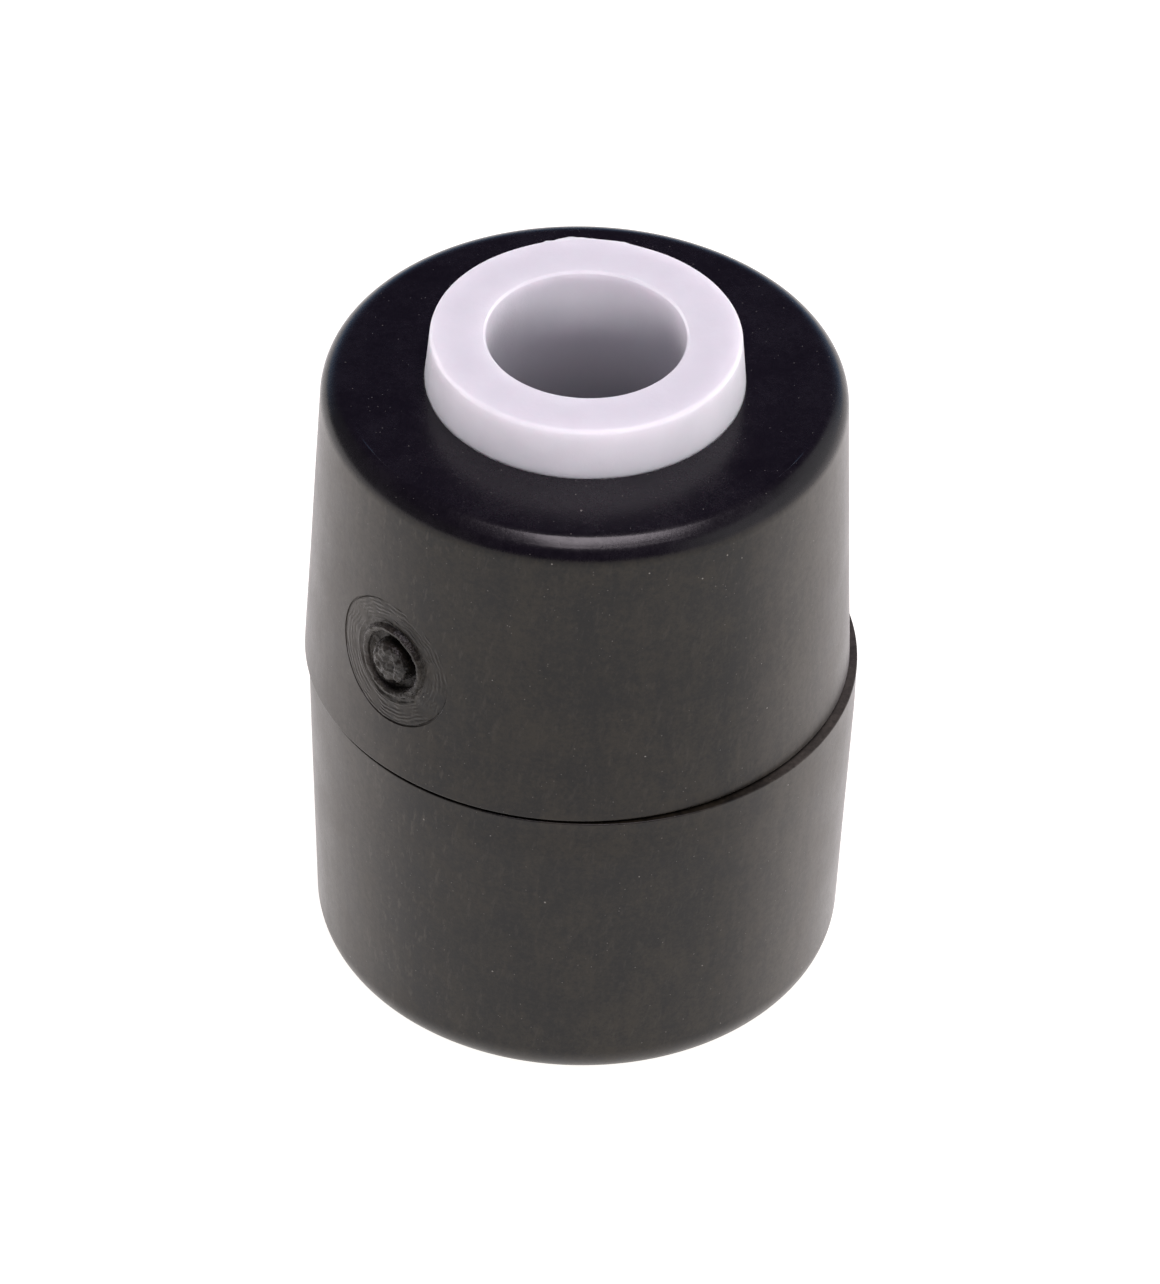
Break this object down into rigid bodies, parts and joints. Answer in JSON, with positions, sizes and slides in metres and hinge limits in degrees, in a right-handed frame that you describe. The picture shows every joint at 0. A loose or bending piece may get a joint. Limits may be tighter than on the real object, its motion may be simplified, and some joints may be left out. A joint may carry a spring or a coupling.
{
  "type": "pneumatic muffler",
  "caption": "Cylindrical push-in air muffler: two drafted black halves joined at a seam, a pale sleeve for the tube on top, felt packing round a diffuser inside, exhaust ports in the base.",
  "frame": {"origin": "on the sleeve's axis, in the plane of the base", "axes": "+Z along the sleeve's axis, out of its mouth; -Y is the front, with the gate mark to the left of it"},
  "size_m": [0.0258, 0.0257, 0.0347],
  "materials": {
    "housing": "matte black moulded",
    "sleeve": "natural nylon, waxy",
    "seal_rubber": "matte",
    "spring_steel": "bright rolled",
    "diffuser_plastic": "natural moulded",
    "gauze_steel": "woven wire",
    "felt": "pressed wool felt",
    "plate_steel": "punched sheet",
    "spacer_plastic": "matte"
  },
  "bodies": {
    "root": {"upper_housing": "housing", "lower_housing": "housing", "inlet_sleeve": "sleeve", "sleeve_seal": "seal_rubber", "sleeve_retainer": "spring_steel", "diffuser_tube": "diffuser_plastic", "diffuser_gauze": "gauze_steel", "diffuser_plug": "diffuser_plastic", "felt_ring_1": "felt", "felt_ring_2": "felt", "felt_ring_3": "felt", "felt_ring_4": "felt", "packing_baffle": "plate_steel", "spacer_ring": "spacer_plastic", "exhaust_filter": "felt", "exhaust_screen": "plate_steel"}
  },
  "joints": []
}
